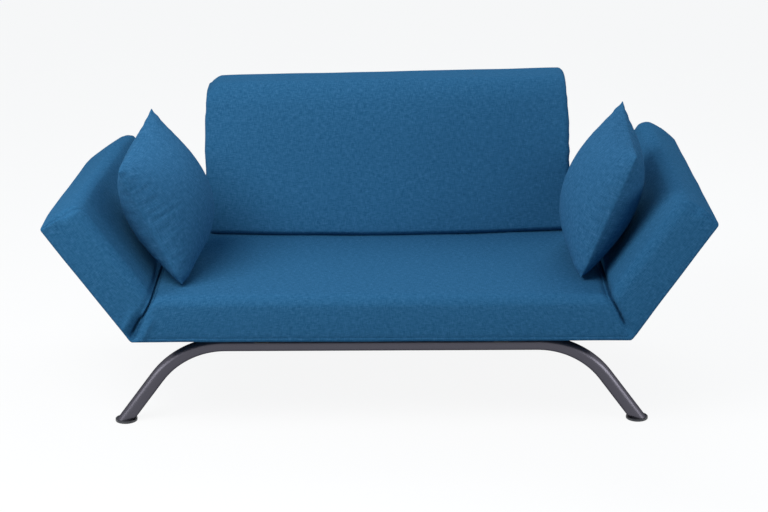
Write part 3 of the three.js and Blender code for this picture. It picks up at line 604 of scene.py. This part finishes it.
def sew_arm(name, cut):
    """One arm's cover: its fold, then the body with its own slack, twist and rolled end edge."""
    fold = stations((TUCK_START, 0), (-FOLD_HALF, 2), (FOLD_HALF, 14))
    body = stations((0, 0), (0.12, 8), (0.93, 24), (1, 12))[1:]
    along = np.concatenate([fold, body])
    arm, index = block_grid(name, (along, ACROSS, UPWARD))
    last = [len(along) - 1, len(ACROSS) - 1, len(UPWARD) - 1]
    in_fold = index[:, 0] < len(fold)
    y, height = ACROSS[index[:, 1]], UPWARD[index[:, 2]]
    place = along[index[:, 0]]

    reach = ARM_LENGTH - cut["slack"] * ease(y, SLACK_FROM, SLACK_TO)
    reach = reach - cut["round_corner"] * ease(y, ROUND_FROM, HALF_DEPTH)
    start = (FOLD_HALF + (height - PIVOT_RISE) * math.sin(LEAN)) / math.cos(LEAN)
    out = np.where(in_fold, place, start + (reach - start) * place)
    flat = np.stack([out, y, height], axis=1)
    points, facing = round_section(out, y, height, np.where(in_fold, 1, reach))
    plump = np.where(in_fold, 0, swell(points[:, 0] / ARM_LENGTH, 8) * ease(points[:, 0], 0, 0.08))
    height_share = fill_section(points, plump, facing[:, 1] ** 2)
    shape_arm_end(points, facing, y, height, height_share, reach, in_fold, cut)

    rise = points[:, 2] - PIVOT_RISE
    u = np.where(in_fold, place, points[:, 0] * math.cos(LEAN) - rise * math.sin(LEAN))
    jog = cut["jog"] * np.tanh((height - JOG_HEIGHT) / JOG_SPAN)
    depth = crease_depth(u, facing, height, jog, cut["foot"], cut["pucker"])
    depth = depth + hem_dip(height, facing, ARM_HEM_DEPTH)
    unevenness = ripple(flat, CLOTH_WAVES, 5.7 * cut["side"]) * -WAVE_HEIGHT
    points -= facing * np.where(in_fold, 0, depth + unevenness)[:, None]
    rise = points[:, 2] - PIVOT_RISE - cut["sag"] * points[:, 0] / ARM_LENGTH
    x = points[:, 0] * math.cos(ARM_ANGLE) - rise * math.sin(ARM_ANGLE)
    z = points[:, 0] * math.sin(ARM_ANGLE) + rise * math.cos(ARM_ANGLE)

    tucked = np.where(u < -FOLD_HALF, TUCK_DEPTH, 0)
    fold_x, fold_y, fold_z = fold_strip(u, points, facing, y, height, depth + tucked)
    shaped = np.stack([
        cut["side"] * (PIVOT_X + np.where(in_fold, fold_x, x)),
        np.where(in_fold, fold_y, points[:, 1]),
        PIVOT_Z + np.where(in_fold, fold_z, z),
    ], axis=1)
    set_points(arm, shaped)
    lay_weave(arm, index, last, flat)
    open_ends(arm, index, (0, 0))
    wall_of_cloth(arm, blue_cloth)
    return arm


for end, cut in ARMS.items():
    side = cut["side"]
    arm = sew_arm(f"{end}_arm_cushion", cut)
    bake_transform(arm)
    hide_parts(f"{end}_arm_cover", f"{end}_arm_foam")

# Back cushion: a loose foam wedge with an upright rear and a sloping front, in a cover of the same cloth
# with gathered side seams. It stands on the seat by its own weight, a little to the right and askew.
BACK_WIDTH, BACK_DEPTH, BACK_HEIGHT = 1.0, 0.276, 0.402
BACK_LEAN = math.radians(19)
BACK_EDGE_RADIUS, BACK_TOP_RADIUS, BACK_FOOT_RADIUS = 0.014, 0.058, 0.018
BACK_FRONT_BULGE, BACK_SIDE_BULGE, BACK_FOOT_SPREAD = 0.016, 0.008, 0.032
BACK_CORNER_DROP, BACK_RIGHT_RISE = 0.016, 0.006
BACK_GATHERS, GATHER_REACH, GATHER_HEIGHT = (7, 5, 34), 0.03, 0.004
BACK_WAVES, BACK_WAVE_HEIGHT = (7, 7, 9), 0.0022
BACK_PLACE, BACK_TURN = (0.018, 0.252, 0.3823), math.radians(1.1)


def round_profile(points, low, high, radius):
    """Draws the corners of a block's side outline in to a round of this radius, in Y and Z."""
    middle = (low + high) / 2
    sign = np.sign(points[:, 1:] - middle)
    inside = (high - low) / 2 - radius
    past = np.clip((np.abs(points[:, 1:] - middle) - inside) / radius, 0, 1)
    drawn = past * np.sqrt(1 - past[:, ::-1] ** 2 / 2)
    points[:, 1:] += sign * (drawn - past) * radius


across_back = stations((-0.5, 0), (-0.484, 6), (-0.43, 6), (0.43, 72), (0.484, 6), (0.5, 6))
deep_back = stations((-0.138, 0), (-0.122, 5), (-0.07, 7), (0.07, 10), (0.122, 7), (0.138, 5))
up_back = stations((0, 0), (0.016, 5), (0.335, 30), (0.386, 7), (BACK_HEIGHT, 5))
back, index = block_grid("back_wedge_cushion", (across_back, deep_back, up_back))
last = [len(across_back) - 1, len(deep_back) - 1, len(up_back) - 1]
flat = np.stack([across_back[index[:, 0]], deep_back[index[:, 1]], up_back[index[:, 2]]], axis=1)
corner = np.array([BACK_WIDTH / 2, BACK_DEPTH / 2, 0])
points, facing = rounded(flat, -corner, corner + (0, 0, BACK_HEIGHT), BACK_EDGE_RADIUS)
radius = np.where(points[:, 2] > BACK_HEIGHT / 2, BACK_TOP_RADIUS, BACK_FOOT_RADIUS)[:, None]
low, high = np.array([-BACK_DEPTH / 2, 0]), np.array([BACK_DEPTH / 2, BACK_HEIGHT])
round_profile(points, low, high, radius)
height_share = points[:, 2] / BACK_HEIGHT
width_share = 2 * points[:, 0] / BACK_WIDTH
front_share = (BACK_DEPTH / 2 - points[:, 1]) / BACK_DEPTH
plump = swell(width_share, 4) * swell(2 * height_share - 1, 4)
spread = BACK_FOOT_SPREAD * swell(width_share, 2) * (1 - height_share) ** 2
points[:, 1] += front_share * (points[:, 2] * math.tan(BACK_LEAN) - BACK_FRONT_BULGE * plump - spread)
points[:, 0] += width_share * BACK_SIDE_BULGE * swell(2 * height_share - 1, 2)
points[:, 2] -= BACK_CORNER_DROP * (ease(-width_share, 0.93, 1) * ease(height_share, 0.9, 1))
points[:, 2] += BACK_RIGHT_RISE * width_share * height_share**3
near_side = np.exp(-(BACK_WIDTH / 2 - np.abs(flat[:, 0])) / GATHER_REACH)
gathers = ripple(flat, BACK_GATHERS, 1.3) * near_side * GATHER_HEIGHT
points += facing * (gathers + ripple(flat, BACK_WAVES, 8.8) * BACK_WAVE_HEIGHT)[:, None]
set_points(back, points)
back.data.transform(Matrix.Translation(BACK_PLACE) @ Matrix.Rotation(BACK_TURN, 4, "Z"))
lay_weave(back, index, last, flat)
finish_piece(back, blue_cloth)
point_faces_out(back)
bpy.ops.object.shade_smooth_by_angle(angle=CLOTH_SMOOTHING)
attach(back, "back_cushion")
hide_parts("back_cushion_cover", "back_cushion_foam")

# Scatter cushions: two squares of the same cloth sewn edge to edge and stuffed with loose fibre. The
# filling draws the sides in and leaves spare cloth that puckers along the seam. They lean on the arms.
PILLOW_GRID, PILLOW_SEAM, PILLOW_DRAW_IN = 60, 0.004, 0.05
SETTLING_FRAMES, FILLING_PRESSURE = 20, 5
SPARE_REACH, SPARE_CORNER = 0.03, 0.08
SEAM_PINCH, PINCH_REACH = 0.3, 0.03
SEAM_GATHERS, SEAM_GATHER_HEIGHT, SEAM_GATHER_REACH = (4, 16), 0.0045, 0.2
PILLOW_SHADES = ((0.011, 0.061, 0.136), (0.026, 0.113, 0.228), (0.066, 0.189, 0.343))
PILLOWS = {
    "left": {
        "side": 0.366, "half": 0.109, "lean": math.radians(68), "turn": math.radians(12.5),
        "tip": math.radians(12), "settle": (0.022, 0, 0), "spare": 0.1, "fullness": 0.7,
        "blunt_top": 0.02, "blunt_foot": 0.055,
    },
    "right": {
        "side": 0.379, "half": 0.098, "lean": math.radians(70), "turn": math.radians(2),
        "tip": math.radians(8), "settle": (-0.014, 0, 0), "spare": 0.07, "fullness": 0.66,
        "blunt_top": 0, "blunt_foot": 0.055,
    },
}


def sew_pillow(name, side, half, fullness):
    """Two flat squares sewn together and filled out, and how far each point lies along both squares."""
    bpy.ops.mesh.primitive_grid_add(x_subdivisions=PILLOW_GRID, y_subdivisions=PILLOW_GRID, size=2)
    pillow = bpy.context.object
    pillow.name = name
    bpy.ops.object.mode_set(mode="EDIT")
    bpy.ops.mesh.select_all(action="SELECT")
    bpy.ops.mesh.extrude_region_move(TRANSFORM_OT_translate={"value": (0, 0, PILLOW_SEAM)})
    bpy.ops.mesh.select_all(action="SELECT")
    bpy.ops.mesh.normals_make_consistent(inside=False)
    bpy.ops.object.mode_set(mode="OBJECT")
    weave = pillow.data.uv_layers[0]
    weave.name = "weave"
    for corner in weave.data:
        corner.uv = Vector(corner.uv) * side
    points = np.array([vertex.co for vertex in pillow.data.vertices])
    u, v = points[:, 0], points[:, 1]
    face = np.where(points[:, 2] > PILLOW_SEAM / 2, 1, -1)
    puffed = np.clip((1 - u**2) * (1 - v**2), 0, 1) ** fullness
    set_points(pillow, np.stack([
        u * side / 2 * (1 - PILLOW_DRAW_IN * (1 - v**2) * np.abs(u)),
        v * side / 2 * (1 - PILLOW_DRAW_IN * (1 - u**2) * np.abs(v)),
        face * (PILLOW_SEAM / 2 + half * puffed),
    ], axis=1))
    return pillow, u, v, face


def settle_cloth(pillow, u, v, side, spare_share):
    """Lets the spare cloth near the seam settle under the filling's pressure, with the seam itself held."""
    spare = pillow.vertex_groups.new(name="spare_cloth")
    from_seam = np.minimum(1 - np.abs(u), 1 - np.abs(v)) * side / 2
    from_corner = np.hypot(1 - np.abs(u), 1 - np.abs(v)) * side / 2
    slack = 0.6 * np.exp(-from_seam / SPARE_REACH) + np.exp(-((from_corner / SPARE_CORNER) ** 2))
    for number, weight in enumerate(np.clip(slack, 0, 1)):
        spare.add([number], float(weight), "REPLACE")
    stitched = pillow.vertex_groups.new(name="seam")
    stitched.add([int(number) for number in np.flatnonzero(from_seam < 0.0001)], 1, "REPLACE")
    cloth = pillow.modifiers.new("settling", "CLOTH")
    cloth.settings.quality = 6
    cloth.settings.mass = 0.1
    cloth.settings.tension_stiffness = 40
    cloth.settings.compression_stiffness = 30
    cloth.settings.shear_stiffness = 12
    cloth.settings.bending_stiffness = 0.7
    cloth.settings.use_pressure = True
    cloth.settings.uniform_pressure_force = FILLING_PRESSURE
    cloth.settings.vertex_group_shrink = spare.name
    cloth.settings.vertex_group_mass = stitched.name
    cloth.settings.shrink_max = -spare_share
    cloth.settings.effector_weights.gravity = 0
    cloth.collision_settings.use_collision = False
    cloth.point_cache.frame_start = 1
    cloth.point_cache.frame_end = SETTLING_FRAMES
    for number in range(1, SETTLING_FRAMES + 1):
        bpy.context.scene.frame_set(number)
    bpy.context.view_layer.objects.active = pillow
    bpy.ops.object.modifier_apply(modifier=cloth.name)
    bpy.context.scene.frame_set(1)
    pillow.vertex_groups.clear()


def stuff_pillow(name, pose):
    """One cushion: sewn, filled and settled, with blunt corners where it is pushed in and a gathered seam."""
    side, half = pose["side"], pose["half"]
    pillow, u, v, face = sew_pillow(name, side, half, pose["fullness"])
    settle_cloth(pillow, u, v, side, pose["spare"])
    points = np.array([vertex.co for vertex in pillow.data.vertices])
    low, high = points.min(axis=0), points.max(axis=0)
    points = (points - (low + high) / 2) / (high - low) * (side, side, 2 * half)
    from_edge = 1 - np.maximum(np.abs(u), np.abs(v))
    points[:, 2] *= 1 - SEAM_PINCH * np.exp(-from_edge / PINCH_REACH)
    top_corner, foot_corner = (u > 0) * ease(u * -v, 0.7, 1), (u < 0) * ease(u * v, 0.7, 1)
    points[:, :2] *= 1 - (pose["blunt_top"] * top_corner + pose["blunt_foot"] * foot_corner)[:, None]
    out, along = SEAM_GATHERS
    gather_u = ripple(np.stack([u * out, v * along, face], axis=1), (1, 1, 1), 2.7)
    gather_v = ripple(np.stack([u * along, v * out, face], axis=1), (1, 1, 1), 6.1)
    gathers = gather_u * np.exp((np.abs(u) - 1) / SEAM_GATHER_REACH)
    gathers = gathers + gather_v * np.exp((np.abs(v) - 1) / SEAM_GATHER_REACH)
    points[:, 2] += face * np.where(from_edge < 0.001, 0, SEAM_GATHER_HEIGHT * gathers)
    set_points(pillow, points)
    smooth = pillow.modifiers.new("fine_cloth", "SUBSURF")
    smooth.levels = 1
    smooth.render_levels = 1
    finish_piece(pillow, pillow_cloth, smooth.name)
    bpy.ops.object.shade_smooth_by_angle(angle=CLOTH_SMOOTHING)
    return pillow


def lean_pillow(pillow, node, side, pose):
    """Turns a cushion as it leans on its arm, and settles it where its CAD solid stands."""
    turned = (
        Matrix.Rotation(pose["turn"], 4, "Z") @ Matrix.Rotation(math.pi / 2 - pose["lean"], 4, "Y")
        @ Matrix.Rotation(pose["tip"], 4, "X") @ Matrix.Rotation(-math.pi / 2, 4, "Y")
    )
    pillow.data.transform(Matrix.Scale(side, 4, (1, 0, 0)) @ turned)
    if side < 0:
        pillow.data.flip_normals()
    points = np.array([vertex.co for vertex in pillow.data.vertices])
    low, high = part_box(node)
    shift = (np.array(low) + np.array(high)) / 2 - (points.min(axis=0) + points.max(axis=0)) / 2
    shift[2] = low.z - points[:, 2].min()
    set_points(pillow, points + shift + pose["settle"])


pillow_cloth = woven_cloth("pillow_melange_cloth", PILLOW_SHADES)
for end, side in (("left", -1), ("right", 1)):
    pillow = stuff_pillow(f"{end}_scatter_cushion", PILLOWS[end])
    lean_pillow(pillow, f"{end}_pillow", side, PILLOWS[end])
    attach(pillow, f"{end}_pillow")
    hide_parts(f"{end}_pillow")

# Studio: a pale floor that keeps a soft shadow, a white surround, a broad softbox above and in front, one
# behind, and a low one at each side for the sheen of the tubes. The camera stands as the photographer's did.
AMBIENT_COLOUR, AMBIENT_STRENGTH = (0.5, 0.95, 1.32), 0.23
FLOOR_SIZE, FLOOR_DROP = 80, 0.0005
FLOOR_LIT, FLOOR_SEEN, FLOOR_GLOW = (0.44, 0.44, 0.44), (0.92, 0.92, 0.92), 0.9
CAMERA_PLACE, CAMERA_PITCH, CAMERA_ROLL = (0.008, -5.197, 2.112), math.radians(18.69), math.radians(-0.25)
LENS, SENSOR_WIDTH, SIGHT = 94.07, 36, 200


def seen_directly(nodes, links):
    """1 for what the camera sees, in a mirror or through glass too, and 0 for what only lights the object."""
    path = nodes.new("ShaderNodeLightPath")
    either = path.outputs["Is Camera Ray"]
    for ray in ("Is Glossy Ray", "Is Transmission Ray"):
        largest = nodes.new("ShaderNodeMath")
        largest.operation = "MAXIMUM"
        links.new(either, largest.inputs[0])
        links.new(path.outputs[ray], largest.inputs[1])
        either = largest.outputs["Value"]
    return either


world = bpy.data.worlds.new("studio")
bpy.context.scene.world = world
world.use_nodes = True
nodes, links = world.node_tree.nodes, world.node_tree.links
ambient = nodes["Background"]
ambient.inputs["Color"].default_value = (*AMBIENT_COLOUR, 1)
ambient.inputs["Strength"].default_value = AMBIENT_STRENGTH
white = nodes.new("ShaderNodeBackground")
white.inputs["Color"].default_value = (1, 1, 1, 1)
white.inputs["Strength"].default_value = 1
choose = nodes.new("ShaderNodeMixShader")
links.new(seen_directly(nodes, links), choose.inputs["Fac"])
links.new(ambient.outputs["Background"], choose.inputs[1])
links.new(white.outputs["Background"], choose.inputs[2])
links.new(choose.outputs["Shader"], nodes["World Output"].inputs["Surface"])

bpy.ops.mesh.primitive_plane_add(size=FLOOR_SIZE, location=(0, 0, -FLOOR_DROP))
floor = bpy.context.object
floor.name = "floor"
paper, shader, nodes, links = material_nodes("pale_floor", Roughness=0.8)
direct = seen_directly(nodes, links)
tint = nodes.new("ShaderNodeMix")
tint.data_type = "RGBA"
tint.inputs["A"].default_value = (*FLOOR_LIT, 1)
tint.inputs["B"].default_value = (*FLOOR_SEEN, 1)
links.new(direct, tint.inputs["Factor"])
links.new(tint.outputs["Result"], shader.inputs["Base Color"])
glow = nodes.new("ShaderNodeEmission")
glow.inputs["Strength"].default_value = 1
weight = nodes.new("ShaderNodeMath")
weight.operation = "MULTIPLY"
weight.inputs[1].default_value = FLOOR_GLOW
links.new(direct, weight.inputs[0])
mix = nodes.new("ShaderNodeMixShader")
links.new(weight.outputs["Value"], mix.inputs["Fac"])
links.new(shader.outputs["BSDF"], mix.inputs[1])
links.new(glow.outputs["Emission"], mix.inputs[2])
links.new(mix.outputs["Shader"], nodes["Material Output"].inputs["Surface"])
floor.data.materials.append(paper)


def soft_lamp(name, place, target, size, power):
    """A rectangular softbox that faces its target, with its size in metres and its power in watts."""
    bpy.ops.object.light_add(type="AREA", location=place)
    lamp = bpy.context.object
    lamp.name = name
    lamp.data.shape = "RECTANGLE"
    lamp.data.size, lamp.data.size_y = size
    lamp.data.energy = power
    lamp.rotation_euler = (Vector(target) - Vector(place)).to_track_quat("-Z", "Y").to_euler()


soft_lamp("key_softbox", (-1.3, -1.6, 2.6), (0, 0.05, 0.35), (2.2, 1.4), 80)
soft_lamp("left_softbox", (-2.6, -1.5, 0.85), (-0.55, -0.3, 0.15), (1.5, 0.6), 12)
soft_lamp("right_softbox", (2.6, -1.5, 0.85), (0.55, -0.3, 0.15), (1.5, 0.6), 18)
soft_lamp("rear_softbox", (0.7, 1.4, 2.4), (0, -0.1, 0.35), (1.6, 1.0), 24)

turned = Matrix.Rotation(math.pi / 2 - CAMERA_PITCH, 3, "X") @ Matrix.Rotation(CAMERA_ROLL, 3, "Z")
bpy.ops.object.camera_add(location=CAMERA_PLACE, rotation=turned.to_euler())
camera = bpy.context.object
camera.data.lens = LENS
camera.data.sensor_width = SENSOR_WIDTH
camera.data.clip_end = SIGHT
bpy.context.scene.camera = camera
bpy.context.scene.view_settings.view_transform = "Standard"
